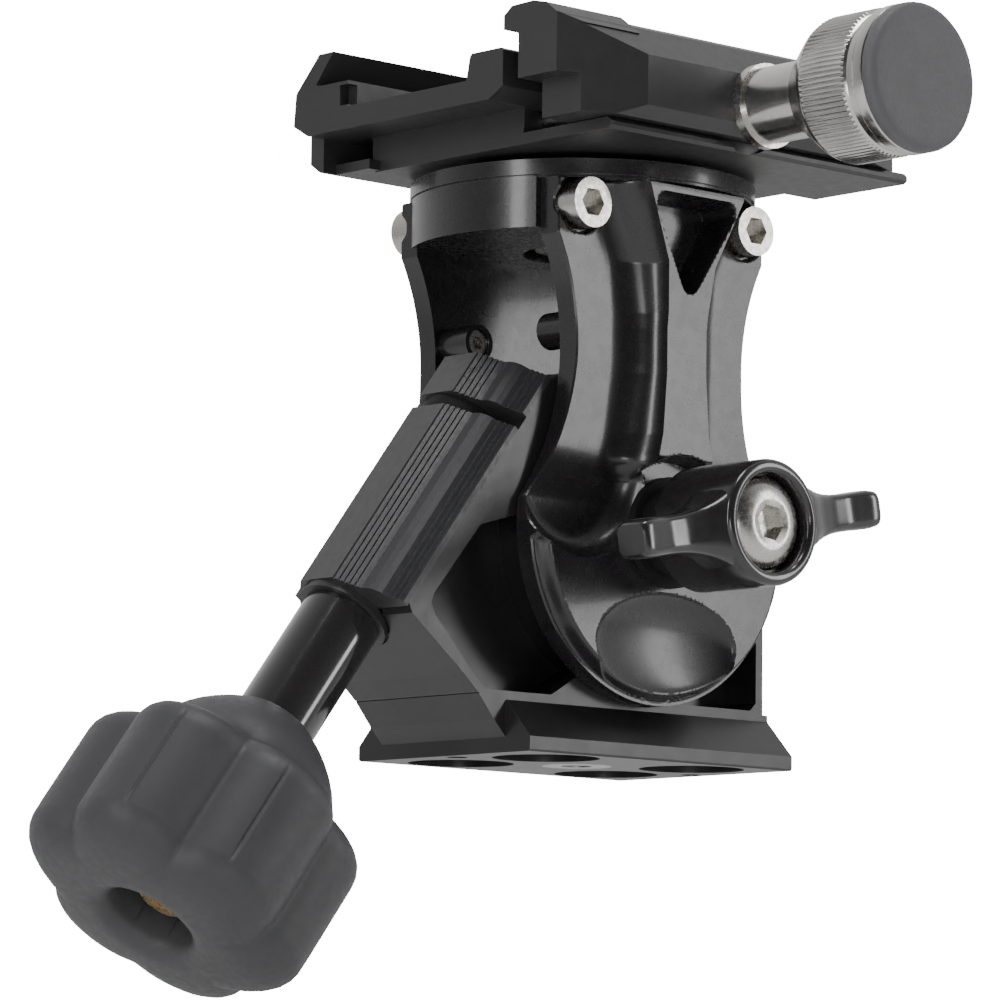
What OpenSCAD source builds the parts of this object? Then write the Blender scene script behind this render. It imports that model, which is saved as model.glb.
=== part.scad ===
// Alt azimuth mount: a machined base whose flank carries an inclined worm drive,
// an hourglass yoke that tilts in altitude, and a panning dovetail clamp on top.
// Millimetres. +X away from the drive arm, +Y to the rear plate, +Z up.
// Origin: middle of the base's underside, on the tripod thread's axis.

/* [Base] */
// Base length along X
base_len = 93.6; // [80:0.1:120]
// Base depth along Y
base_dep = 65; // [58:0.5:78]
// Half thickness of the upright web
web_half = 23.4; // [21:0.1:26]
// Height of the altitude axis above the underside
axis_z = 58.5; // [55:0.1:68]
// Bore of the tripod thread (3/8 inch, 16 per inch, minor size)
thread_bore_r = 3.97; // [2.5:0.01:6]

/* [Drive arm] */
// Slope of the drive arm from horizontal, degrees
arm_deg = 52.4; // [45:0.1:60]
// Worm wheel teeth
wheel_teeth = 50; // [40:1:60]
// Gear module
gear_mod = 1.6; // [1.25:0.05:2]
// Length of the ribbed housing
sleeve_len = 59.8; // [45:0.1:70]
// Drive tube radius
tube_r = 10.4; // [8:0.1:13]

/* [Yoke] */
// Radius of the plates' lower discs
disc_r = 44.2; // [40:0.1:47]
// Top of the plates
plate_top = 147.2; // [138:0.1:156]
// Half width at the waist
waist_half = 29.9; // [24:0.1:34]
// Half width at the top
top_half = 36.9; // [32:0.1:42]
// Radius of the pan disc
hub_r = 45.5; // [40:0.1:52]

/* [Clamp] */
// Length of the clamp along X
clamp_len = 124.8; // [100:0.1:150]
// Width of the narrow dovetail groove between the seat ledges
groove_w = 45.5; // [44:0.1:48]
// How far the moving jaw closes
jaw_travel = 6.5; // [4:0.1:6.5]

/* [Hidden] */
$fn = 64;
// every module below is drawn in steps of 1.3 mm and scaled once at the end
K = 1.3;
wheel_rp = gear_mod / K * wheel_teeth / 2;
worm_rp = 37.5 - wheel_rp;
mesh_t = 49.6;
lead = 3.14159265 * gear_mod / K;
bl = base_len / K / 2;
bd = base_dep / K / 2;
wh = web_half / K;
az = axis_z / K;
plate_in = wh + 0.3;
pt = plate_top / K;
dr = disc_r / K;
wst = waist_half / K;
tph = top_half / K;
hr = hub_r / K;
tr = tube_r / K;
sl = sleeve_len / K;
cl = clamp_len / K / 2;
gh = groove_w / K / 2;

module arm() translate([0, 0, az]) rotate([0, -arm_deg, 0]) translate([-mesh_t, 0, 37.5]) children();
// cylinder along the arm from t0 to t1
module acyl(r, t0, t1) arm() translate([t0, 0, 0]) rotate([0, 90, 0]) cylinder(r = r, h = t1 - t0);
// cylinder along Y from y0 to y1 at x, z
module ycyl(r, y0, y1, x = 0, z = az) translate([x, y1, z]) rotate([90, 0, 0]) cylinder(r = r, h = y1 - y0);
module zcyl(r, z0, z1, x = 0, y = 0) translate([x, y, z0]) cylinder(r = r, h = z1 - z0);
// XZ outline swept along Y
module sweep(y0, y1) translate([0, y1, 0]) rotate([90, 0, 0]) linear_extrude(height = y1 - y0) children();
// YZ outline swept along X
module sweepx(x0, x1) translate([x0, 0, 0]) rotate([90, 0, 90]) linear_extrude(height = x1 - x0) children();
module box(a, b) translate(a) cube([b[0] - a[0], b[1] - a[1], b[2] - a[2]]);
function ap(t, h) = [cos(arm_deg) * (t - mesh_t) - sin(arm_deg) * (37.5 + h), az + sin(arm_deg) * (t - mesh_t) + cos(arm_deg) * (37.5 + h)];

// ---- base ----
module web2d() {
 difference() {
  union() {
   translate([0, az]) circle(r = 34.4);
   polygon([[-bl - 5.5, 10.2], [bl - 1.4, 10.2], [bl - 1.6, az], [0, az + 20], ap(57.2, -12), ap(57.2, 0), ap(-2, 0), [-60.4, 25.2], [-53, 19.4], [-47, 14.6], [-43.4, 11.4]]);
  }
 }
}
module pocketL() {
 difference() {
  polygon([[-43.2, 43.6], [-55, 29.3], [-55.6, 27.4], [-54.6, 25.4], [-44, 14], [-41.2, 11.9], [-24, 11.9], [-10, 20], [-20, 50], [-35, 46]]);
  translate([0, az]) circle(r = 30.5);
 }
}
module pocketR() {
 difference() {
  polygon([[10, 12.2], [31, 12.2], [32.6, 13.8], [32.6, 26], [20, 30]]);
  translate([0, az]) circle(r = 30.5);
 }
}
module base_block() color([0.03, 0.03, 0.035]) difference() {
 union() {
  // foot: thin lip and 45 degree flanks front and rear
  sweepx(-bl, bl) polygon([[-bd + 0.4, 0], [bd - 0.4, 0], [bd, 0.4], [bd, 2.9], [wh, 10.2], [wh, 11.5], [-wh, 11.5], [-wh, 10.2], [-bd, 2.9], [-bd, 0.4]]);
  sweep(-wh, wh) web2d();
  sweep(-wh, wh) polygon([[-bl, 3], [-bl + 8, 3], [-bl + 8, 11], [-43, 11], [-39, 6.2]]);
 }
 // wheel slot with its straight way out past the arm seat
 ycyl(33, -3.1, 3.1);
 translate([0, 0, az]) rotate([0, -arm_deg, 0]) box([-33, -3.1, 0], [33, 3.1, 60]);
 // hub bore and its bush seats
 ycyl(18, -wh - 1, wh + 1);
 // side pockets
 for (s = [-1, 1]) translate([0, s * (wh - 4), 0]) {
  sweep(-5, 5) pocketL();
  sweep(-5, 5) pocketR();
 }
 // arm groove, worm chamber and bush seats
 acyl(5.4, -10, 70);
 acyl(7.9, 40.5, 58);
 acyl(8, -3, 9);
 acyl(9.8, -12, -2);
 for (t = [5, 38], y = [-10.5, 10.5]) arm() translate([t, y, -8]) cylinder(r = 1.5, h = 12);
 for (y = [-10.5, 10.5]) arm() translate([54, y, -8]) cylinder(r = 1.5, h = 12);
 // rear edge of the arm set in, its lower corner clear of the tube
 arm() box([-14, 14.28, -9], [60, 40, 4]);
 arm() box([-14, 9.9, -14], [3, 40, 4]);
 // underside: thread insert seat, corner pockets and small fixing holes
 zcyl(7, -1, 9);
 for (x = [-20, 20], y = [-12.4, 12.4]) zcyl(10.6, -1, 4.1, x, y);
 for (x = [-32.2, 32.2]) zcyl(2.1, -1, 9, x, 0);
}
module tripod_insert() color([0.75, 0.75, 0.76]) difference() { zcyl(7, 0, 9); zcyl(thread_bore_r / K, -1, 10); }

// ---- arm housings ----
module rib_profile() polygon([[-18, 0], [-18, 1.2], [-17.4, 1.2], [-17, 1.9], [-16.5, 1.7], [-16.1, 2.5], [-15.6, 2.3], [-15.2, 3.1], [-14.7, 3], [-14.1, 4], [-13.2, 4.9], [-12, 5.6], [-10.8, 5.9], [-9.9, 5.9], [-9.53, 6.15], [-9.35, 6.27], [-9.02, 6.51], [-8.74, 6.31], [-8.52, 6.47], [-8.59, 6.81], [-8.41, 6.93], [-8.08, 7.17], [-7.8, 6.97], [-7.58, 7.13], [-7.65, 7.47], [-7.47, 7.59], [-7.14, 7.83], [-6.86, 7.63], [-6.64, 7.79], [-6.71, 8.13], [-6.53, 8.25], [-6.2, 8.49], [-5.92, 8.29], [-5.7, 8.45], [-5.77, 8.79], [-5.59, 8.91], [-5.26, 9.15], [-4.98, 8.95], [-4.76, 9.11], [-4.7, 9.5], [4.7, 9.5], [4.74, 9.11], [4.9, 8.95], [5.1, 9.15], [5.34, 8.91], [5.47, 8.79], [5.42, 8.45], [5.58, 8.29], [5.78, 8.49], [6.02, 8.25], [6.15, 8.13], [6.1, 7.79], [6.26, 7.63], [6.46, 7.83], [6.69, 7.59], [6.82, 7.47], [6.77, 7.13], [6.93, 6.97], [7.13, 7.17], [7.37, 6.93], [7.5, 6.81], [7.45, 6.47], [7.61, 6.31], [7.81, 6.51], [8.05, 6.27], [8.18, 6.15], [8.44, 5.9], [9.09, 5.9], [9.96, 5.6], [10.82, 4.9], [11.47, 4], [11.9, 3], [12.26, 3.1], [12.55, 2.3], [12.91, 2.5], [13.2, 1.7], [13.56, 1.9], [13.84, 1.2], [14.28, 1.2], [14.28, 0]]);
// (y, h) outline swept along the arm
module aprof(t0, t1) arm() translate([t0, 0, 0]) rotate([90, 0, 90]) linear_extrude(height = t1 - t0) rib_profile();
module ribbed_housing() color([0.2, 0.2, 0.21]) difference() {
 aprof(-2.7, sl - 2.7);
 arm() box([-14, 9.9, -14], [1, 40, 12]);
 acyl(5.4, -10, 70);
 acyl(7.9, 40.5, 58);
 acyl(8, -3, 9);
 for (t = [5, 38], y = [-10.5, 10.5]) arm() translate([t, y, -8]) cylinder(r = 1.5, h = 9.4);
}
module end_housing() color([0.2, 0.2, 0.21]) difference() {
 aprof(46.8, 57.2);
 acyl(7.9, 40, 54.8);
 acyl(6.1, 54, 58);
 for (y = [-10.5, 10.5]) arm() translate([54, y, -8]) cylinder(r = 1.5, h = 9.4);
}
module housing_dowels() color([0.7, 0.7, 0.72]) {
 for (t = [5, 38], y = [-10.5, 10.5]) arm() translate([t, y, -7]) cylinder(r = 1.5, h = 8);
 for (y = [-10.5, 10.5]) arm() translate([54, y, -7]) cylinder(r = 1.5, h = 8);
}
module lower_bush() color([0.6, 0.4, 0.22]) difference() {
 union() { acyl(7.97, -2.7, 8.5); acyl(9.3, -4.2, -2.7); }
 acyl(3.95, -6, 10);
}
module upper_bush() color([0.6, 0.4, 0.22]) difference() {
 acyl(6.08, 54.8, 57.2);
 acyl(3.95, 50, 60);
}
module gap_liner() color([0.05, 0.05, 0.05]) difference() {
 acyl(9.2, sl - 2.7, 46.8);
 acyl(8.1, 40, 50);
 arm() box([40, -12, -12], [50, 12, 0]);
}
module hub_bushes() color([0.6, 0.4, 0.22]) for (s = [-1, 1]) difference() {
 ycyl(18, s > 0 ? 4.2 : -wh, s > 0 ? wh : -4.2);
 ycyl(15.05, -30, 30);
}
module friction_rings() color([0.1, 0.1, 0.1]) for (s = [-1, 1]) difference() {
 ycyl(28, s > 0 ? wh : -plate_in, s > 0 ? plate_in : -wh);
 ycyl(19, -30, 30);
}

// ---- yoke ----
module outline2d() difference() {
 union() {
  translate([0, az]) circle(r = dr);
  polygon([[-tph, pt - 1], [-tph + 1, pt], [tph - 1, pt], [tph, pt - 1], [tph, 96], [27, 55], [-27, 55], [-tph, 96]]);
 }
 for (s = [-1, 1]) translate([s * (wst + 48), 80]) circle(r = 48);
}
// spine outline, widened by e
module spine2d(e = 0) polygon([[-13.3 - e, pt], [13.3 + e, pt], [6.4 + e, 98], [5.4 + e, 88], [5.4 + e, 76], [6.3 + e, 64], [8.6 + e, 54], [-8.6 - e, 54], [-6.3 - e, 64], [-5.4 - e, 76], [-5.4 - e, 88], [-6.4 - e, 98]]);
// round-ended channels beside the spine, drawn smaller by e
module cove2d(e = 0) for (s = [-1, 1]) {
 translate([s * 22.7, 54.6]) circle(r = 16.2 - e);
 polygon([[s * (6.5 + e), 54.6], [s * (4 + e), 76], [s * (4 + e), pt + 1], [s * 45, pt + 1], [s * 45, 54.6 - 16.2 + e], [s * 22.7, 54.6 - 16.2 + e]]);
}
// rounded triangle from three corner circles
module pocket2d() { for (q = [[-8.4, 109], [8.4, 109], [0, 94.6]]) translate(q) circle(r = 2); polygon([[-8.4, 111], [8.4, 111], [10.128, 107.992], [1.728, 93.592], [-1.728, 93.592], [-10.128, 107.992]]); }
module plate() difference() {
 union() {
  sweep(-plate_in - 3.2, -plate_in) outline2d();
  intersection() {
   sweep(-23.4, -plate_in) outline2d();
   box([-40, -40, 66], [40, 0, 120]);
  }
  // disc face and the channels' rounded feet
  sweep(-25.5, -plate_in) difference() { translate([0, az]) circle(r = dr - 1); cove2d(); }
  sweep(-22.8, -plate_in) difference() { translate([0, az]) circle(r = dr - 1); cove2d(2.2); }
  sweep(-22.7, -plate_in) spine2d(4.6);
  sweep(-24.6, -plate_in) spine2d(2.6);
  sweep(-27.2, -plate_in) spine2d(1);
  // spine, leaning out towards the top
  intersection() {
   sweep(-34, -plate_in) spine2d();
   sweepx(-20, 20) polygon([[-20, 40], [-30.5, 40], [-30.5, 85], [-33.4, pt - 1], [-32.8, pt], [-20, pt]]);
  }
 }
 // seat of the altitude lock
 ycyl(14.2, -40, -25.5);
 // sides of the spine relieved for the screw heads
 for (x = [-22.7, 22.7]) ycyl(5.5, -40, -plate_in - 3.2, x, 108.2);
 // axle bore
 ycyl(5.05, -40, 0);
 // lower dish
 translate([0, -25.5, 22.5]) rotate([90, 0, 0]) translate([0, 0, -2.6]) linear_extrude(height = 8) scale([19.2, 10.6]) circle(r = 1);
 // pocket in the spine
 sweep(-35, -24.5) pocket2d();
 // fixing holes
 for (x = [-22.7, 22.7]) ycyl(3.08, -40, 0, x, 108.2);
 // dowel holes
 for (a = [45, 135, 225, 315]) ycyl(1.5, -plate_in - 3, 0, 11 * cos(a), az + 11 * sin(a));
 // stop boss screw
 ycyl(2, -plate_in - 2.4, 0, -18.3, 84.7);
}
module near_plate() color([0.05, 0.05, 0.055]) plate();
module far_plate() color([0.05, 0.05, 0.055]) mirror([0, 1, 0]) plate();
module pan_hub() color([0.05, 0.05, 0.055]) difference() {
 union() {
  intersection() { zcyl(hr, 103.5, 113.5); box([-50, -plate_in, 100], [50, plate_in, 120]); }
  zcyl(hr - 0.6, pt + 0.1, pt + 0.7);
  zcyl(hr, pt + 0.7, 117);
 }
 zcyl(5.06, 90, 130);
 zcyl(12, 100, 108);
 zcyl(22.5, 115.5, 120);
 for (s = [-1, 1], x = [-22.7, 22.7]) ycyl(3, s > 0 ? 6 : -30, s > 0 ? 30 : -6, x, 108.2);
}
module cap_screw(len, r, hr, hh, hex) difference() {
 union() { cylinder(r = r, h = len); translate([0, 0, -hh]) cylinder(r = hr, h = hh); }
 translate([0, 0, -hh - 1]) cylinder(r = hex, h = 1 + hh * 0.6, $fn = 6);
}
module plate_screws() color([0.8, 0.8, 0.8]) for (s = [0, 1], x = [-22.7, 22.7]) mirror([0, s, 0])
 translate([x, -plate_in - 3.2, 108.2]) rotate([-90, 0, 0]) cap_screw(15, 3, 5, 5.6, 3);
module stop_bosses() color([0.06, 0.06, 0.065]) for (s = [0, 1]) mirror([0, s, 0]) difference() {
 ycyl(3.7, -plate_in, -10.4, -18.3, 84.7);
 ycyl(2, -20, -5, -18.3, 84.7);
 ycyl(2.7, -12.4, -5, -18.3, 84.7);
}
module stop_screws() color([0.8, 0.8, 0.8]) for (s = [0, 1]) mirror([0, s, 0]) difference() {
 union() { ycyl(1.97, -plate_in - 2, -12.4, -18.3, 84.7); ycyl(2.6, -12.4, -10.9, -18.3, 84.7); }
 translate([-18.3, -10.4, 84.7]) rotate([90, 0, 0]) cylinder(r = 1.4, h = 1.6, $fn = 6);
}
module axle_drum() color([0.6, 0.6, 0.62]) difference() {
 ycyl(15, -plate_in, plate_in);
 ycyl(5.05, -30, 30);
 for (s = [-1, 1], a = [45, 135, 225, 315]) ycyl(1.5, s > 0 ? 10 : -30, s > 0 ? 30 : -10, 11 * cos(a), az + 11 * sin(a));
}
module axle_dowels() color([0.7, 0.7, 0.72]) for (s = [0, 1], a = [45, 135, 225, 315]) mirror([0, s, 0])
 ycyl(1.5, -plate_in - 2.9, -10.2, 11 * cos(a), az + 11 * sin(a));
module worm_wheel() color([0.65, 0.5, 0.25]) translate([0, 0, az]) rotate([90, -arm_deg, 0]) translate([0, 0, -2.4]) difference() {
 linear_extrude(height = 4.8) difference() {
  union() {
   circle(r = wheel_rp - 1.45);
   // teeth straddle the mesh line, so a gap faces the worm at rest
   for (i = [0 : wheel_teeth - 1]) rotate(90 + (i + 0.5) * 360 / wheel_teeth) translate([wheel_rp, 0])
    polygon([[-1.8, -1.33], [0.8, -0.5], [0.8, 0.5], [-1.8, 1.33]]);
  }
  circle(r = 15.02);
 }
 for (a = [0 : 60 : 300]) rotate(a) translate([22, 0, -1]) cylinder(r = 3.5, h = 8);
}
module pivot_stud() color([0.75, 0.75, 0.76]) ycyl(5, -44, 38);
module stud_nut() color([0.75, 0.75, 0.76]) translate([0, 35.2, az]) rotate([90, 0, 0]) difference() {
 cylinder(r = 9.2, h = 8, $fn = 6);
 translate([0, 0, -1]) cylinder(r = 5.02, h = 10);
}
module stud_washer() color([0.75, 0.75, 0.76]) difference() { ycyl(10, 25.5, 27.2); ycyl(5.02, 20, 30); }

// ---- worm drive ----
module worm_shaft() color([0.7, 0.7, 0.72]) difference() { acyl(3.9, -72, 57.2); acyl(2, -80, -59); }
function wr(u) = let (v = abs(u > 0.5 ? u - 1 : u) * lead) v < 0.42 ? worm_rp + 1.1 : (v > 1.32 ? worm_rp - 1.4 : worm_rp + 1.1 - (v - 0.42) / 0.9 * 2.5);
module worm_thread() color([0.7, 0.7, 0.72]) arm() translate([mesh_t - 5.1, 0, 0]) rotate([0, 90, 0])
 // the crest faces the wheel at the middle of the worm
 rotate(-360 * 5.1 / lead) linear_extrude(height = 10.2, twist = -360 * 10.2 / lead, slices = 36, convexity = 8, $fn = 4) difference() {
  polygon([for (i = [0 : 23]) let (a = i * 360 / 24, r = wr(1 - i / 24)) [r * cos(a), r * sin(a)]]);
  circle(r = 4.03, $fn = 12);
 }
module drive_tube() color([0.03, 0.03, 0.035]) difference() { acyl(tr, -41, -4.3); acyl(3.92, -50, 0); }
// six broad lobes, drawn smaller by e for the rounded ends
module star2d(e = 0) rotate(-7) { circle(r = 20); for (a = [0 : 60 : 300]) rotate(a) translate([16, 0]) circle(r = 12.9 - e); }
module star_slice(e, t0, t1) arm() translate([t0, 0, 0]) rotate([90, 0, 90]) linear_extrude(height = t1 - t0) star2d(e);
module star_knob() color([0.2, 0.2, 0.21]) difference() {
 union() {
  star_slice(0, -75, -51);
  star_slice(1.1, -77.8, -49);
  star_slice(2.9, -79.6, -47.4);
  star_slice(5.4, -80.6, -46.4);
  acyl(19.2, -47, -41.5);
  acyl(16, -41.5, -37.8);
  acyl(12.6, -37.8, -34.4);
  acyl(9.8, -34.4, -31.9);
 }
 acyl(10.02, -72, -36);
 acyl(8.04, -40, -25);
 acyl(8.7, -90, -71);
 acyl(10.6, -90, -79.4);
}
module knob_core() color([0.55, 0.55, 0.57]) difference() {
 acyl(10, -71.98, -36.04);
 acyl(8.02, -41.02, -20);
 acyl(3.92, -75, -20);
}
module knob_washer() color([0.75, 0.75, 0.76]) difference() { acyl(7, -73.2, -72); acyl(2.2, -90, -70); }
module knob_screw() color([0.72, 0.62, 0.4]) difference() {
 union() { acyl(1.98, -73.2, -60); acyl(4.5, -75, -73.2); }
 arm() translate([-75.5, 0, 0]) rotate([0, 90, 0]) cylinder(r = 2.3, h = 1.6, $fn = 6);
}
module thrust_collar() color([0.7, 0.7, 0.72]) difference() { acyl(5, 9.2, 13.2); acyl(3.92, 0, 20); }

// ---- altitude lock ----
module wing_knob() color([0.02, 0.02, 0.022]) difference() {
 union() {
  ycyl(12.4, -55, -33.5);
  ycyl(9.5, -33.5, -27.2);
  translate([0, 0, az]) rotate([0, -10.2, 0]) {
   box([-33, -53, -4], [33, -44.5, 4]);
   box([-20, -53, -6.5], [20, -42, 6.5]);
  }
 }
 ycyl(5.06, -46, -20);
 ycyl(5, -60, -44);
 ycyl(9.6, -60, -50.4);
}
module wing_screw() color([0.85, 0.85, 0.86]) difference() {
 union() { ycyl(4.98, -50.4, -46.5); ycyl(9.2, -52.8, -50.4); ycyl(7, -54.2, -52.8); }
 translate([0, -51.4, az]) rotate([90, 0, 0]) cylinder(r = 3.6, h = 5, $fn = 6);
}
module wing_washer() color([0.7, 0.7, 0.72]) difference() { ycyl(11, -27.2, -25.5); ycyl(5.06, -30, -20); }

// ---- panning clamp ----
// screw along Y for the moving jaw
sx = 0;
sz = 127;
module clamp_body() color([0.04, 0.04, 0.045]) difference() {
 union() {
  // long seat: rear jaw with its undercut, ledge, groove and front lug
  sweepx(-cl, cl) polygon([[-28, 127.6], [-24, 125.4], [30, 125.4], [34.2, 127.8], [33.6, 134.4], [26.6, 141.6], [22.2, 141.6], [27.4, 135.6], [27.2, 135.1], [gh, 135.1], [gh, 129.9], [-gh, 129.9], [-gh - 1, 134.6], [-gh - 1.6, 135.1], [-27.4, 135.1], [-28, 134.6]]);
  // core over the pan ring
  sweepx(-37, 37) polygon([[-21.5, 118.4], [21.5, 118.4], [22.4, 122], [22.4, 126], [-22.4, 126], [-22.4, 122]]);
  // rear and front skirts
  sweepx(-43.5, 43.5) polygon([[31, 118.6], [34, 120.6], [34, 127.8], [30, 127.8], [30, 118.6]]);
  box([-40, 20, 118.6], [40, 31, 120.6]);
  sweepx(-37, 46) polygon([[-46, 118.4], [-21, 118.4], [-21, 120.6], [-46, 120.6], [-46.8, 119.8], [-46.8, 119]]);
 }
 // relief for the stem's washer when the jaw is closed
 ycyl(8.8, -60, -45.6, sx, sz);
 // pan screw seat
 zcyl(5.06, 110, 135);
 zcyl(9.2, 124, 135);
 // ways for the clamp screw and the jaw guides
 ycyl(3.1, -40, -19, sx, sz);
 for (x = [-30, 30]) ycyl(2.34, -40, -12, x, 124);
 // relief in the rear jaw's ends
 for (s = [-1, 1]) box([s < 0 ? -cl - 1 : cl - 2.4, gh - 1, 130.2], [s < 0 ? -cl + 2.4 : cl + 1, gh + 2.6, 134.4]);
}
module pan_ring() color([0.08, 0.08, 0.08]) difference() { zcyl(22, 115.5, 118.4); zcyl(5.1, 110, 120); }
module pan_screw() color([0.75, 0.75, 0.76]) difference() {
 union() { zcyl(5, 104.5, 124); zcyl(8.75, 124, 128.4); }
 translate([0, 0, 126]) cylinder(r = 3.5, h = 4, $fn = 6);
}
module pan_nut() color([0.75, 0.75, 0.76]) difference() { zcyl(9.5, 104.5, 107.9); zcyl(5.0, 100, 110); }
module moving_jaw() color([0.04, 0.04, 0.045]) difference() {
 union() {
  // upper jaw and its hook
  sweepx(-48.6, 46) polygon([[-33, 128.2], [-49.6, 128.2], [-51, 129.6], [-51, 132.8], [-44, 139.6], [-40, 141.2], [-33, 141], [-30.6, 140.2], [-28.8, 139.2], [-28.8, 138.2], [-32, 137.8], [-33, 136.8]]);
  for (x = [-48.6, 26]) sweepx(x, x + 20) polygon([[-34, 138], [-46, 138], [-40.6, 142], [-37, 142.8], [-31, 142.6], [-28.8, 141], [-28.8, 138.2], [-32, 137.8]]);
  // foot
  sweepx(-44, 44) polygon([[-35, 120.8], [-48.5, 120.8], [-51, 123], [-51, 131], [-35, 131]]);
 }
 ycyl(3.1, -60, -30, sx, sz);
 for (x = [-30, 30]) ycyl(2.32, -48, -30, x, 124);
 // ends tapered in plan
 translate([0, 0, 110]) linear_extrude(height = 40) { polygon([[-49, -43.6], [-31, -51.1], [-31, -60], [-60, -60], [-60, -43.6]]); polygon([[46.4, -43.6], [29, -51.1], [29, -60], [60, -60], [60, -43.6]]); }
}
module jaw_guides() color([0.75, 0.75, 0.76]) for (x = [-30, 30]) ycyl(2.28, -42, -18, x, 124);
module stem_washer() color([0.7, 0.7, 0.72]) difference() { ycyl(8.4, -53, -51, sx, sz); ycyl(3.1, -60, -30, sx, sz); }
module clamp_stem() color([0.8, 0.8, 0.8]) union() {
 ycyl(3.04, -60, -25.6, sx, sz);
 ycyl(7.6, -66.6, -53, sx, sz);
 ycyl(5, -91, -60, sx, sz);
}
module knurled_ring() color([0.8, 0.8, 0.8]) difference() {
 union() {
  ycyl(14.2, -86.2, -74, sx, sz);
  translate([sx, -66.6, sz]) rotate([90, 0, 0]) cylinder(r1 = 9, r2 = 14, h = 7.4);
  ycyl(13.8, -88.4, -86, sx, sz);
  ycyl(14.5, -91, -88.4, sx, sz);
 }
 ycyl(5.02, -100, -50, sx, sz);
}
module knob_cap() color([0.1, 0.1, 0.1]) union() {
 ycyl(14.5, -93.4, -91, sx, sz);
 translate([sx, -93.4, sz]) rotate([90, 0, 0]) cylinder(r1 = 14.5, r2 = 13.9, h = 0.6);
}

scale(K) base_block();
scale(K) tripod_insert();
scale(K) ribbed_housing();
scale(K) end_housing();
scale(K) housing_dowels();
scale(K) lower_bush();
scale(K) upper_bush();
scale(K) gap_liner();
scale(K) hub_bushes();
scale(K) friction_rings();
scale(K) near_plate();
scale(K) far_plate();
scale(K) pan_hub();
scale(K) plate_screws();
scale(K) stop_bosses();
scale(K) stop_screws();
scale(K) axle_drum();
scale(K) worm_wheel();
scale(K) axle_dowels();
scale(K) pivot_stud();
scale(K) stud_nut();
scale(K) stud_washer();
scale(K) worm_shaft();
scale(K) worm_thread();
scale(K) drive_tube();
scale(K) star_knob();
scale(K) knob_core();
scale(K) knob_screw();
scale(K) knob_washer();
scale(K) thrust_collar();
scale(K) wing_knob();
scale(K) wing_screw();
scale(K) wing_washer();
scale(K) clamp_body();
scale(K) pan_ring();
scale(K) pan_screw();
scale(K) pan_nut();
scale(K) jaw_guides();
scale(K) moving_jaw();
scale(K) clamp_stem();
scale(K) knurled_ring();
scale(K) knob_cap();
scale(K) stem_washer();
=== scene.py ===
import bpy, bmesh, math
import numpy as np
from mathutils import Vector, Matrix


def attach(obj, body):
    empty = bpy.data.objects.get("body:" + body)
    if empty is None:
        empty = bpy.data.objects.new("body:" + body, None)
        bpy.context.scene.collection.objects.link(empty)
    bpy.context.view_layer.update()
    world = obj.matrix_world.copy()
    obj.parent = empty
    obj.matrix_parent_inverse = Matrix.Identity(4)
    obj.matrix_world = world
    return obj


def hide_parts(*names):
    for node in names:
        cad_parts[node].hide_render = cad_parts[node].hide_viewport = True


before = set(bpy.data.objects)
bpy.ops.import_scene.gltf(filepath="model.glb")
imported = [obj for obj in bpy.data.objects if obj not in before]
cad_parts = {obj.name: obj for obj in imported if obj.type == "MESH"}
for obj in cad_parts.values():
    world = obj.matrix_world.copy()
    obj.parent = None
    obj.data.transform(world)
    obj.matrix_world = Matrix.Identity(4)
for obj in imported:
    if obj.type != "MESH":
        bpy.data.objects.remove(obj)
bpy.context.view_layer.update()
K = 0.0013            # one drawing step in metres
TH = math.radians(52.4)
A = Vector((math.cos(TH), 0, math.sin(TH)))      # along the drive arm, upwards
N = Vector((-math.sin(TH), 0, math.cos(TH)))     # out of the arm's seat
ORG = Vector((0, 0, 45)) + N * 37.5 - A * 49.6

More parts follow.
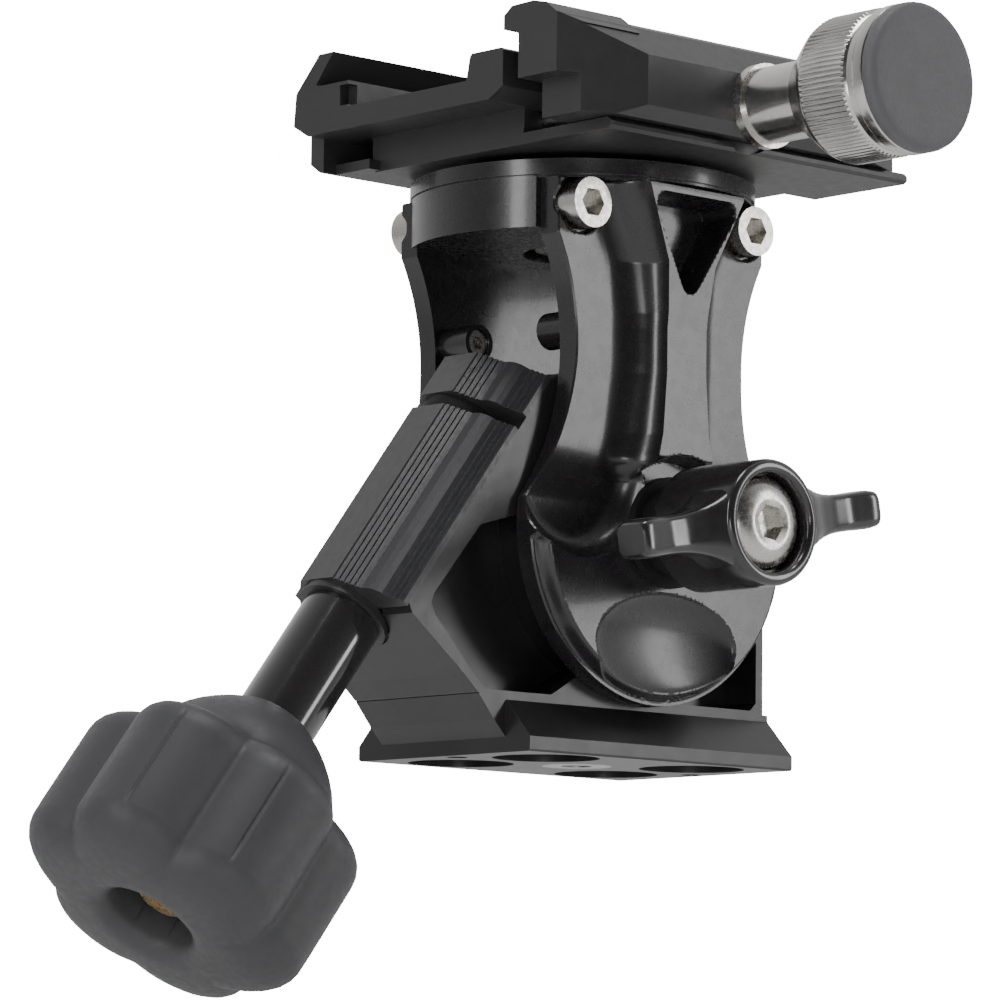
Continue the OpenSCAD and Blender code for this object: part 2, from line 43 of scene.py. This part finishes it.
# ------------------------------------------------------------------ materials
def mat(name, color, metallic=0.0, rough=0.4, rough_var=0.08, scale=400.0, bump=0.0, bump_scale=2500.0,
        coat=0.0, aniso=0.0, spec=0.5, painted_edge_highlight=0.0, painted_edge_highlight_col=(0.5, 0.5, 0.5), streak=None, dist=0.00006):
    m = bpy.data.materials.new(name)
    m.use_nodes = True
    nt = m.node_tree
    nt.nodes.clear()
    out = nt.nodes.new("ShaderNodeOutputMaterial")
    b = nt.nodes.new("ShaderNodeBsdfPrincipled")
    nt.links.new(b.outputs["BSDF"], out.inputs["Surface"])
    b.inputs["Metallic"].default_value = metallic
    b.inputs["Roughness"].default_value = rough
    b.inputs["Specular IOR Level"].default_value = spec
    b.inputs["Coat Weight"].default_value = coat
    b.inputs["Coat Roughness"].default_value = 0.12
    b.inputs["Anisotropic"].default_value = aniso
    tc = nt.nodes.new("ShaderNodeTexCoord")
    src = tc.outputs["Object"]
    if streak is not None:
        mp = nt.nodes.new("ShaderNodeMapping")
        mp.inputs["Scale"].default_value = streak
        nt.links.new(src, mp.inputs["Vector"])
        src = mp.outputs["Vector"]
    n1 = nt.nodes.new("ShaderNodeTexNoise")
    n1.inputs["Scale"].default_value = scale
    n1.inputs["Detail"].default_value = 4.0
    nt.links.new(src, n1.inputs["Vector"])
    mr = nt.nodes.new("ShaderNodeMapRange")
    mr.inputs["From Min"].default_value = 0.3
    mr.inputs["From Max"].default_value = 0.7
    mr.inputs["To Min"].default_value = max(0.02, rough - rough_var)
    mr.inputs["To Max"].default_value = min(1.0, rough + rough_var)
    nt.links.new(n1.outputs["Fac"], mr.inputs["Value"])
    nt.links.new(mr.outputs["Result"], b.inputs["Roughness"])
    n2 = nt.nodes.new("ShaderNodeTexNoise")
    n2.inputs["Scale"].default_value = scale * 0.15
    n2.inputs["Detail"].default_value = 3.0
    nt.links.new(tc.outputs["Object"], n2.inputs["Vector"])
    mix = nt.nodes.new("ShaderNodeMix")
    mix.data_type = "RGBA"
    mix.inputs["Factor"].default_value = 0.5
    nt.links.new(n2.outputs["Fac"], mix.inputs["Factor"])
    c = Vector(color)
    mix.inputs["A"].default_value = (*(c * 0.88), 1)
    mix.inputs["B"].default_value = (*[min(1.0, v) for v in c * 1.12], 1)
    col = mix.outputs["Result"]
    # painted highlight: rounded edges (where the bevel normal leaves the face normal) are lightened towards a grey,
    # patchy by noise, standing in for the specular highlights on the edges
    if painted_edge_highlight > 0:
        bv = nt.nodes.new("ShaderNodeBevel")
        bv.samples = 8
        bv.inputs["Radius"].default_value = 0.00035
        geo = nt.nodes.new("ShaderNodeNewGeometry")
        dot = nt.nodes.new("ShaderNodeVectorMath")
        dot.operation = "DOT_PRODUCT"
        nt.links.new(bv.outputs["Normal"], dot.inputs[0])
        nt.links.new(geo.outputs["Normal"], dot.inputs[1])
        mr2 = nt.nodes.new("ShaderNodeMapRange")
        mr2.inputs["From Min"].default_value = 0.97
        mr2.inputs["From Max"].default_value = 0.7
        mr2.inputs["To Min"].default_value = 0.0
        mr2.inputs["To Max"].default_value = painted_edge_highlight
        nt.links.new(dot.outputs["Value"], mr2.inputs["Value"])
        mul = nt.nodes.new("ShaderNodeMath")
        mul.operation = "MULTIPLY"
        nt.links.new(mr2.outputs["Result"], mul.inputs[0])
        nt.links.new(n1.outputs["Fac"], mul.inputs[1])
        mx = nt.nodes.new("ShaderNodeMix")
        mx.data_type = "RGBA"
        nt.links.new(mul.outputs["Value"], mx.inputs["Factor"])
        nt.links.new(col, mx.inputs["A"])
        mx.inputs["B"].default_value = (*painted_edge_highlight_col, 1)
        col = mx.outputs["Result"]
    nt.links.new(col, b.inputs["Base Color"])
    if bump > 0:
        n3 = nt.nodes.new("ShaderNodeTexNoise")
        n3.inputs["Scale"].default_value = bump_scale
        n3.inputs["Detail"].default_value = 3.0
        nt.links.new(src, n3.inputs["Vector"])
        bp = nt.nodes.new("ShaderNodeBump")
        bp.inputs["Strength"].default_value = bump
        bp.inputs["Distance"].default_value = dist
        nt.links.new(n3.outputs["Fac"], bp.inputs["Height"])
        nt.links.new(bp.outputs["Normal"], b.inputs["Normal"])
    return m

# the grey edge colours given to the anodised materials below are painted highlights on rounded edges
M = {
    "ano": mat("anodised_black_m", (0.018, 0.016, 0.017), 0.0, 0.3, 0.02, 250, 0.05, 9000, spec=0.6, painted_edge_highlight=0.25, painted_edge_highlight_col=(0.35, 0.35, 0.35)),
    "anog": mat("anodised_gloss_m", (0.018, 0.016, 0.018), 0.0, 0.27, 0.02, 250, 0.03, 9000, coat=0.25, spec=0.6, painted_edge_highlight=0.25, painted_edge_highlight_col=(0.4, 0.4, 0.4)),
    "anos": mat("anodised_satin_m", (0.03, 0.029, 0.031), 0.0, 0.4, 0.03, 300, 0.1, 8000, spec=0.6, painted_edge_highlight=0.2, painted_edge_highlight_col=(0.35, 0.35, 0.35)),
    "grey": mat("anodised_grey_m", (0.04, 0.04, 0.043), 0.1, 0.34, 0.06, 500, 0.15, 5000, spec=0.6, painted_edge_highlight=0.3, painted_edge_highlight_col=(0.5, 0.5, 0.5)),
    "gloss": mat("tube_gloss_m", (0.02, 0.018, 0.019), 0.0, 0.12, 0.03, 300, 0.0, coat=0.8, spec=0.6),
    "wing": mat("wing_gloss_m", (0.022, 0.02, 0.021), 0.0, 0.2, 0.04, 350, 0.03, 900, coat=0.6, spec=0.6),
    "steel": mat("stainless_m", (0.62, 0.60, 0.56), 1.0, 0.27, 0.06, 700, 0.05, 4000, aniso=0.3),
    "steel2": mat("steel_m", (0.55, 0.55, 0.56), 1.0, 0.32, 0.08, 700, 0.08, 4000),
    "turned": mat("turned_stainless_m", (0.66, 0.65, 0.63), 1.0, 0.2, 0.05, 700, 0.06, 5000, aniso=0.5),
    "bronze": mat("bronze_m", (0.55, 0.33, 0.22), 1.0, 0.3, 0.08, 500, 0.05, 4000),
    "brass": mat("brass_m", (0.68, 0.5, 0.26), 1.0, 0.3, 0.08, 500, 0.05, 4000),
    "rubber": mat("knob_rubber_m", (0.06, 0.06, 0.064), 0.0, 0.5, 0.06, 500, 0.35, 5000, spec=0.45, dist=0.00004),
    "cap": mat("cap_textured_m", (0.12, 0.12, 0.125), 0.0, 0.5, 0.06, 900, 0.9, 2600, spec=0.4, dist=0.00012),
    # dark_m: the real dark rings and washer, and also the painted shade of gap_liner
    "dark": mat("dark_m", (0.012, 0.011, 0.011), 0.0, 0.6, 0.05, 500, 0.05, 3000, spec=0.3),
}
NODE_MAT = {
    "base_block": "ano", "tripod_insert": "steel2", "ribbed_housing": "grey", "end_housing": "grey", "housing_dowels": "steel2",
    # gap_liner is a near-black piece filling the gap between the sleeve segments: painted shade where the real gap is
    # only in shadow
    "lower_bush": "anos", "upper_bush": "bronze", "gap_liner": "dark", "hub_bushes": "bronze", "friction_rings": "dark",
    "near_plate": "anog", "far_plate": "anog", "pan_hub": "anog", "plate_screws": "steel", "stop_bosses": "anog", "stop_screws": "steel",
    "axle_drum": "steel2", "worm_wheel": "brass", "axle_dowels": "steel2", "pivot_stud": "steel2", "stud_nut": "steel", "stud_washer": "steel",
    "worm_shaft": "steel2", "worm_thread": "steel2", "drive_tube": "gloss", "star_knob": "rubber", "knob_core": "steel2", "knob_screw": "brass",
    "knob_washer": "steel", "thrust_collar": "steel2", "wing_knob": "wing", "wing_screw": "steel", "wing_washer": "dark",
    "clamp_body": "anos", "pan_ring": "dark", "pan_screw": "steel", "pan_nut": "steel", "jaw_guides": "steel2", "moving_jaw": "anos",
    "clamp_stem": "turned", "knurled_ring": "turned", "knob_cap": "cap", "stem_washer": "steel",
}
BEVEL = {"base_block": 0.0005, "ribbed_housing": 0.00006, "end_housing": 0.00006, "near_plate": 0.0004, "far_plate": 0.0004, "pan_hub": 0.0004,
         "clamp_body": 0.0008, "moving_jaw": 0.0008, "wing_knob": 0.0008, "star_knob": 0.002, "plate_screws": 0.0002, "knurled_ring": 0.0003,
         "knob_cap": 0.0006, "clamp_stem": 0.0003, "stop_bosses": 0.0002, "stud_nut": 0.0003, "wing_screw": 0.0002, "drive_tube": 0.0003,
         "lower_bush": 0.00015, "stem_washer": 0.0002, "wing_washer": 0.0002, "stud_washer": 0.0002, "pivot_stud": 0.0004, "knob_screw": 0.0002}
for name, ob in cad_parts.items():
    ob.data.materials.clear()
    ob.data.materials.append(M[NODE_MAT[name]])
    if name in BEVEL:
        md = ob.modifiers.new("edge", "BEVEL")
        md.width = BEVEL[name]
        md.segments = 3
        md.limit_method = "ANGLE"
        md.angle_limit = math.radians(28)
        md.harden_normals = True

# ------------------------------------------------------------------ finer shapes
def mesh_obj(name, verts, faces, material, node, body, angle=32):
    me = bpy.data.meshes.new(name)
    me.from_pydata([tuple(float(c) * K for c in v) for v in verts], [], [tuple(int(i) for i in f) for f in faces])
    me.validate()
    bm = bmesh.new()
    bm.from_mesh(me)
    bmesh.ops.remove_doubles(bm, verts=bm.verts, dist=1e-6)
    bmesh.ops.recalc_face_normals(bm, faces=bm.faces)
    bm.to_mesh(me)
    bm.free()
    for p in me.polygons:
        p.use_smooth = True
    me.set_sharp_from_angle(angle=math.radians(angle))
    me.materials.append(material)
    ob = bpy.data.objects.new(name, me)
    bpy.context.scene.collection.objects.link(ob)
    bpy.context.view_layer.update()
    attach(ob, body)
    if node:
        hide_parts(*(node if isinstance(node, tuple) else (node,)))
    return ob

def grid_faces(n, m, wrap=False, off=0):
    f = []
    for i in range(n - 1):
        for j in range(m if wrap else m - 1):
            j2 = (j + 1) % m
            f.append((off + i * m + j, off + i * m + j2, off + (i + 1) * m + j2, off + (i + 1) * m + j))
    return f

def lathe(rows, cols, place, radius=None):
    """rows of (position, radius); radius(i, phi) may change it round the turn"""
    v = []
    for i, (t, r) in enumerate(rows):
        for j in range(cols):
            a = 2 * math.pi * j / cols
            rr = r if radius is None else radius(i, t, r, a)
            v.append(place(t, rr * math.cos(a), rr * math.sin(a)))
    return v, grid_faces(len(rows), cols, True)

def smooth(a, b, x):
    t = np.clip((x - a) / (b - a), 0, 1)
    return t * t * (3 - 2 * t)

# yoke plates: flange, filleted channels, leaning spine, dish, pocket and screw seats
PT, AZ0, DR, WST, TPH = 113.2308, 45.0, 34.0, 23.0, 28.3846
def half_width(z):
    disc = np.sqrt(np.maximum(DR ** 2 - (z - AZ0) ** 2, 0))
    pol = np.where(z >= 96, TPH, 27 + (TPH - 27) * (z - 55) / 41.0)
    pol = np.where(z < 55, 0, pol)
    w = np.maximum(disc, pol)
    waist = np.where(np.abs(z - 80) < 48, WST + 48 - np.sqrt(np.maximum(48 ** 2 - (z - 80) ** 2, 0)), 99)
    return np.minimum(w, waist)
def spine_half(z):
    return np.interp(z, [11, 54, 64, 76, 88, 98, PT], [8.6, 8.6, 6.3, 5.4, 5.4, 6.4, 13.3])
def tri_sd(x, z, pts, r):
    d = np.full(np.shape(x), 1e9)
    inside = np.ones(np.shape(x), bool)
    for i in range(3):
        ax, az_ = pts[i]
        bx, bz = pts[(i + 1) % 3]
        ex, ez = bx - ax, bz - az_
        t = np.clip(((x - ax) * ex + (z - az_) * ez) / (ex * ex + ez * ez), 0, 1)
        d = np.minimum(d, np.hypot(x - ax - t * ex, z - az_ - t * ez))
        inside &= (ex * (z - az_) - ez * (x - ax)) <= 0
    return np.where(inside, -d, d) - r
def plate_height(x, z):
    ax = np.abs(x)
    rr = np.hypot(x, z - AZ0)
    floor = np.interp(z, [11, 50, 78, 100, PT], [21.3, 21.3, 23.2, 23.4, 23.4])
    floor = floor - 1.2 * smooth(62, 50, z)
    hs = np.interp(z, [11, 60, 85, 112, PT], [30.5, 30.5, 30.5, 33.3, 33.2])
    R = 8.6
    d = ax - spine_half(z)
    dd = np.clip(d, 0, R)
    fil = floor + R - np.sqrt(np.maximum(R * R - (R - dd) ** 2, 0))
    hsp = np.where(d <= 0.0, hs, np.minimum(fil + (hs - floor - R) * np.clip(1 - d / R, 0, 1) ** 3, hs))
    # the spine dies into the seat of the lock
    zc = 54.6
    dc = np.where(z < zc, 16.2 - np.hypot(ax - 22.7, z - zc), np.where(ax < 22.7, ax - 6.5, 16.2))
    Rd = 6.0
    cc = np.clip(dc, 0, Rd)
    hd = np.minimum(floor + Rd - np.sqrt(np.maximum(Rd * Rd - (Rd - cc) ** 2, 0)), 25.5)
    hd = np.where(z > 60, floor, hd)
    h = np.where(z > zc, np.maximum(hsp, hd), hd)
    k = smooth(zc + 0.0, zc + 5.0, z)
    h = hd * (1 - k) + np.maximum(hsp, hd) * k
    # seat of the altitude lock
    k = smooth(14.0, 15.2, rr)
    h = np.where((rr < 15.2) & (h > 25.5), 25.5 + (h - 25.5) * k, h)
    # edge of the disc
    edge = smooth(31.6, 33.3, rr) * (z < 50) * smooth(0.8, -0.8, dc)
    h = h - edge * np.maximum(h - 22.4, 0)
    # scooped dish with a rounded lip
    e = np.sqrt((x / 19.2) ** 2 + ((z - 22.5) / 10.6) ** 2)
    h = h - 3.1 * np.sqrt(np.clip(1 - np.clip((e - 0.0), 0, 1) ** 2, 0, 1)) * (e < 1)
    # pocket
    sd = tri_sd(x, z, [(-8.4, 109.0), (8.4, 109.0), (0.0, 94.6)], 2.0)
    k = smooth(0.5, -0.5, sd)
    h = h * (1 - k) + np.minimum(h, 24.6) * k
    # screw seats
    for sx_ in (-22.7, 22.7):
        k = smooth(6.1, 5.3, np.hypot(x - sx_, z - 108.2))
        h = h * (1 - k) + np.minimum(h, 21.9) * k
    return h
def plate_mesh(name, node, sgn):
    nz = 380
    z = np.concatenate([[11.02, 11.1, 11.3], np.linspace(11.6, PT - 0.35, nz), [PT]])
    hw = half_width(z)
    sp = spine_half(z)
    cols = []
    W = hw - 0.35
    sp = np.minimum(sp, W * 0.6)
    f1 = np.linspace(0, 1, 34)
    inner = [sp * v for v in f1[:-1]] + [sp - 0.12, sp + 0.0]
    R = np.minimum(9.0, (W - sp) * 0.75)
    mid = [sp + 0.06 + R * (v ** 1.7) for v in np.linspace(0, 1, 34)[1:]]
    start = mid[-1]
    outer = [start + (W - start) * v for v in np.linspace(0, 1, 44)[1:]]
    half = inner + mid + outer
    xs = [-c for c in half[::-1]] + half[1:]
    X = np.stack(xs, 1)
    Z = np.repeat(z[:, None], X.shape[1], 1)
    H = plate_height(X, Z)
    # chamfered rim, side wall and back
    HL, HR = H[:, :1] - 0.35, H[:, -1:] - 0.35
    X = np.concatenate([-hw[:, None], -hw[:, None], X, hw[:, None], hw[:, None]], 1)
    H = np.concatenate([np.full((len(z), 1), 18.32), HL, H, HR, np.full((len(z), 1), 18.32)], 1)
    Z = np.repeat(z[:, None], X.shape[1], 1)
    H[-1, 1:-1] -= 0.3
    n, m = X.shape
    verts = [(X[i, j], sgn * H[i, j], Z[i, j]) for i in range(n) for j in range(m)]
    faces = grid_faces(n, m)
    # back and top
    b0 = len(verts)
    for i in range(n):
        for j in range(m):
            pass
    for i in range(n - 1):
        faces.append((i * m, (i + 1) * m, (i + 1) * m + m - 1, i * m + m - 1))
    top = b0
    verts += [(X[-1, j], sgn * 18.32, PT) for j in range(m)]
    for j in range(m - 1):
        faces.append(((n - 1) * m + j, (n - 1) * m + j + 1, top + j + 1, top + j))
    return mesh_obj(name, verts, faces, M["anog"], node, "yoke", 38)
plate_mesh("yoke_plate_near", "near_plate", -1)
plate_mesh("yoke_plate_far", "far_plate", 1)

# six-lobed knob
def on_arm(t, y, h):
    p = ORG + A * t + Vector((0, 1, 0)) * y + N * h
    return (p.x, p.y, p.z)
LOBE, LC, LR = math.radians(-7), 16.0, 12.95
def lobes(a):
    s = 0.0
    for k in range(6):
        dlt = (a - LOBE - k * math.pi / 3 + math.pi) % (2 * math.pi) - math.pi
        if abs(dlt) < 1.1:
            q = LR ** 2 - (LC * math.sin(dlt)) ** 2
            s += math.exp((LC * math.cos(dlt) + math.sqrt(max(q, 0))) / 0.55)
    return 0.55 * math.log(s)
prof = [(-72, 8.7, 0), (-77.2, 8.7, 0), (-78.6, 8.9, 0), (-79.6, 9.5, 0), (-80.3, 10.5, 0), (-80.7, 11.8, 0), (-80.8, 13.0, 0), (-80.7, 14.5, .04), (-80.55, 16.6, .14),
        (-80.3, 18.6, .28), (-79.9, 20.4, .42), (-79.3, 22.1, .58), (-78.5, 23.6, .72), (-77.4, 25.0, .84), (-76.1, 26.1, .93), (-74.6, 26.8, .99), (-73.2, 27.1, 1),
        (-72.8, 27.12, 1), (-69, 27.2, 1), (-65, 27.2, 1), (-61, 27.2, 1), (-57, 27.2, 1), (-53.2, 27.2, 1), (-52.6, 27.18, 1), (-51.2, 27.0, 1), (-49.9, 26.5, .98), (-48.8, 25.7, .93), (-48, 24.7, .84),
        (-47.3, 23.3, .7), (-46.8, 21.9, .52), (-46.2, 20.7, .34), (-45.2, 19.8, .16), (-43.6, 19.1, .05), (-41.8, 18.3, 0), (-40, 17.2, 0), (-38.2, 15.8, 0), (-36.5, 14.2, 0),
        (-35, 12.6, 0), (-33.7, 11, 0), (-32.7, 9.7, 0), (-32.1, 8.9, 0), (-31.95, 8.4, 0), (-32.2, 8.06, 0), (-34, 8.04, 0)]
QA = 148.1
seams = [math.radians(QA - s) for s in (31, -14, -85, 211, 166, 95)]
def knob_r(i, t, r, a):
    k = prof[i][2]
    rr = r + k * (lobes(a) - 27.2)
    if -73 < t < -52:
        for s in seams:
            dlt = abs((a - s + math.pi) % (2 * math.pi) - math.pi)
            if dlt < 0.012:
                rr -= 0.35
    return rr
ncol = 540
v, f = lathe([(p[0], p[1]) for p in prof], ncol, lambda t, c, s: on_arm(t, c, s), knob_r)
mesh_obj("lobed_knob", v, f, M["rubber"], "star_knob", "worm_drive", 50)

# altitude lock: barrel, two swept wings
def on_lock(y, c, s):
    return (c, -y, AZ0 + s)
rows = [(27.25, 6.0), (27.25, 9.2), (27.5, 9.4), (33.0, 9.5), (33.5, 10.4), (34.0, 11.9), (34.5, 12.35), (36, 12.4), (45, 12.4), (53.6, 12.4), (54.4, 12.2), (54.85, 11.8), (55, 11.2), (55, 10.5), (54.8, 10.1), (54.3, 9.8), (53.6, 9.66), (50.45, 9.62), (50.42, 5)]
v, f = lathe(rows, 128, on_lock)
wa = math.radians(10.2)
def wsm(x, xp, fp):
    """piecewise values eased by a short running mean"""
    return sum(np.interp(x + o, xp, fp) for o in np.linspace(-0.9, 0.9, 9) * np.clip((33.0 - 0) / 33.0, 0, 1)) / 9 if False else np.mean([np.interp(np.minimum(x + o, np.maximum(x, 32.0)), xp, fp) for o in np.linspace(-1.0, 1.0, 9)], 0)
def wing(sgn):
    xs = np.concatenate([np.linspace(9.9, 30.5, 40), [31.2, 31.9, 32.4, 32.8, 33.0]])
    hz = wsm(xs, [6, 9, 11, 13, 15, 17, 19, 22, 26, 30, 31.2, 32.4, 33.0], [9.0, 8.0, 6.9, 5.9, 5.1, 4.5, 4.1, 3.8, 3.75, 3.9, 3.85, 3.4, 2.6])
    yf = wsm(xs, [6, 9, 11, 13, 16, 20, 25, 30, 31.2, 32.4, 33.0], [54.7, 54.7, 54.5, 54.0, 52.9, 52.0, 51.9, 52.7, 52.9, 52.7, 52.1])
    yb = wsm(xs, [6, 10, 13, 17, 22, 30, 32.4, 33.0], [41.0, 41.6, 43.2, 44.6, 45.2, 44.6, 44.8, 45.4])
    ks = np.array([0.2, 0.6, 0.2])
    for arr in (hz, yf, yb):
        arr[1:-6] = np.convolve(arr, np.ones(5) / 5, "same")[1:-6] if False else arr[1:-6]
    vv = []
    nc = 64
    for x, h, a, b in zip(xs, hz, yf, yb):
        cy, hy = (a + b) / 2, (a - b) / 2
        for j in range(nc):
            t = 2 * math.pi * j / nc
            c, s = math.cos(t), math.sin(t)
            e = 0.42
            py = cy + hy * math.copysign(abs(c) ** e, c)
            pz = h * math.copysign(abs(s) ** e, s)
            X = sgn * x
            vv.append((X * math.cos(wa) - pz * math.sin(wa), -py, AZ0 + X * math.sin(wa) + pz * math.cos(wa)))
    ff = grid_faces(len(xs), nc, True)
    n0 = len(vv)
    last = (len(xs) - 1) * nc
    ff.append(tuple(range(last, last + nc)))
    return vv, ff
for sg in (1, -1):
    vv, ff = wing(sg)
    o = len(v)
    v += vv
    f += [tuple(o + i for i in q) for q in ff]
mesh_obj("lock_wings", v, f, M["wing"], "wing_knob", "altitude_lock", 40)

# domed socket screw of the lock
def hexr(a, r):
    b = (a + math.radians(8)) % (math.pi / 3) - math.pi / 6
    return r * math.cos(math.pi / 6) / math.cos(b)
rows = [(46.6, 4.97), (50.38, 4.97), (50.42, 9.0), (50.8, 9.2), (51.4, 9.2), (52.0, 9.0), (52.7, 8.5), (53.3, 7.7), (53.8, 6.7), (54.1, 5.6), (54.2, 4.9), (54.15, 4.4), (53.9, 3.7), (51.5, 3.7), (51.2, 0.01)]
def sc_r(i, t, r, a):
    return hexr(a, r) if i >= 12 else r
v, f = lathe(rows, 144, on_lock, sc_r)
mesh_obj("lock_screw", v, f, M["steel"], "wing_screw", "altitude_lock", 30)

# knurled clamp knob
def on_clamp(y, c, s):
    return (c, -y, 127 + s)
rows = [(66.62, 5.03), (66.62, 8.2), (66.7, 8.8), (67.0, 9.3), (73.0, 13.5), (73.6, 13.9), (74.1, 14.05), (74.35, 14.1), (74.7, 14.15), (80, 14.15), (85.6, 14.15), (86.0, 14.1), (86.3, 13.9), (86.5, 13.7), (88.0, 13.7), (88.3, 13.9), (88.5, 14.3), (88.8, 14.48), (90.5, 14.48), (90.85, 14.4), (91.0, 14.2), (91.0, 5.03)]
def kn_r(i, t, r, a):
    if 74.6 <= t <= 85.7:
        w = 0.5 + 0.5 * math.cos(a * 84)
        return r + 0.28 - 0.5 * (1 - w ** 0.6)
    return r
nk = 84 * 10
v, f = lathe(rows, nk, on_clamp, kn_r)
mesh_obj("knurled_sleeve", v, f, M["turned"], "knurled_ring", "clamp_knob", 28)
rows = [(91.02, 0.01), (91.02, 13.9), (91.15, 14.3), (91.5, 14.45), (92.6, 14.45), (93.2, 14.3), (93.65, 13.9), (93.9, 13.3), (94.0, 12.4), (94.0, 8), (94.0, 0.01)]
v, f = lathe(rows, 128, on_clamp)
mesh_obj("knob_endcap", v, f, M["cap"], "knob_cap", "clamp_knob", 35)

# ------------------------------------------------------------------ stage
def plane(name, size, loc, material):
    me = bpy.data.meshes.new(name)
    s = size / 2
    me.from_pydata([(-s, -s, 0), (s, -s, 0), (s, s, 0), (-s, s, 0)], [], [(0, 1, 2, 3)])
    ob = bpy.data.objects.new(name, me)
    ob.location = loc
    me.materials.append(material)
    bpy.context.scene.collection.objects.link(ob)
    return ob
floor_m = bpy.data.materials.new("floor_m")
floor_m.use_nodes = True
fb = floor_m.node_tree.nodes["Principled BSDF"]
fb.inputs["Base Color"].default_value = (0.9, 0.9, 0.9, 1)
fb.inputs["Roughness"].default_value = 0.8
floor = plane("floor", 6.0, (0, 0, -0.14), floor_m)

w = bpy.data.worlds.new("studio")
bpy.context.scene.world = w
w.use_nodes = True
wt = w.node_tree
wt.nodes.clear()
wo = wt.nodes.new("ShaderNodeOutputWorld")
b1 = wt.nodes.new("ShaderNodeBackground")
b1.inputs["Color"].default_value = (1, 1, 1, 1)
b1.inputs["Strength"].default_value = 16.0
b2 = wt.nodes.new("ShaderNodeBackground")
b2.inputs["Color"].default_value = (1, 1, 1, 1)
lp = wt.nodes.new("ShaderNodeLightPath")
mixw = wt.nodes.new("ShaderNodeMixShader")
wt.links.new(lp.outputs["Is Camera Ray"], mixw.inputs["Fac"])
wt.links.new(b2.outputs["Background"], mixw.inputs[1])
wt.links.new(b1.outputs["Background"], mixw.inputs[2])
wt.links.new(mixw.outputs["Shader"], wo.inputs["Surface"])
# studio sweep: bright behind and low, dimmer in front
tc = wt.nodes.new("ShaderNodeTexCoord")
dp = wt.nodes.new("ShaderNodeVectorMath")
dp.operation = "DOT_PRODUCT"
dp.inputs[1].default_value = (0.67, 0.73, 0.12)
wt.links.new(tc.outputs["Generated"], dp.inputs[0])
mr = wt.nodes.new("ShaderNodeMapRange")
mr.inputs["From Min"].default_value = -0.6
mr.inputs["From Max"].default_value = 0.8
mr.inputs["To Min"].default_value = 0.05
mr.inputs["To Max"].default_value = 0.9
wt.links.new(dp.outputs["Value"], mr.inputs["Value"])
wt.links.new(mr.outputs["Result"], b2.inputs["Strength"])

def area(name, loc, target, size, power, size_y=None):
    l = bpy.data.lights.new(name, "AREA")
    l.energy = power
    l.size = size
    if size_y:
        l.shape = "RECTANGLE"
        l.size_y = size_y
    ob = bpy.data.objects.new(name, l)
    ob.location = loc
    d = Vector(target) - Vector(loc)
    ob.rotation_euler = d.to_track_quat("-Z", "Y").to_euler()
    bpy.context.scene.collection.objects.link(ob)
    return ob
area("left_box", (-1.3, -0.1, 0.35), (0, 0, 0.06), 0.22, 5, 0.8)
area("right_box", (0.9, -1.0, 0.35), (0, 0, 0.06), 0.2, 3.5, 0.8)
area("top_box", (-0.1, -0.3, 1.1), (0, 0, 0.1), 0.7, 6, 0.35)
area("front_low", (-0.9, -1.1, -0.05), (0, 0, 0.02), 0.4, 2, 0.25)

# ------------------------------------------------------------------ camera
AZ, EL, ROLL = math.radians(42.3727), math.radians(6.9251), math.radians(0.7237)
d = Vector((math.sin(AZ) * math.cos(EL), math.cos(AZ) * math.cos(EL), math.sin(EL)))
r = d.cross(Vector((0, 0, 1))).normalized()
u = r.cross(d)
r2 = r * math.cos(ROLL) + u * math.sin(ROLL)
u2 = -r * math.sin(ROLL) + u * math.cos(ROLL)
cam = bpy.data.cameras.new("cam")
co = bpy.data.objects.new("cam", cam)
bpy.context.scene.collection.objects.link(co)
co.matrix_world = Matrix(((r2.x, u2.x, -d.x, -699.0 * K), (r2.y, u2.y, -d.y, -738.6 * K), (r2.z, u2.z, -d.z, -69.4 * K), (0, 0, 0, 1)))
cam.sensor_width = 36.0
cam.lens = 5088.6 * 36 / 1000
cam.shift_x = 0.0132
cam.shift_y = -0.0032
cam.clip_start = 0.05
cam.clip_end = 20
cam.dof.use_dof = False
bpy.context.scene.camera = co
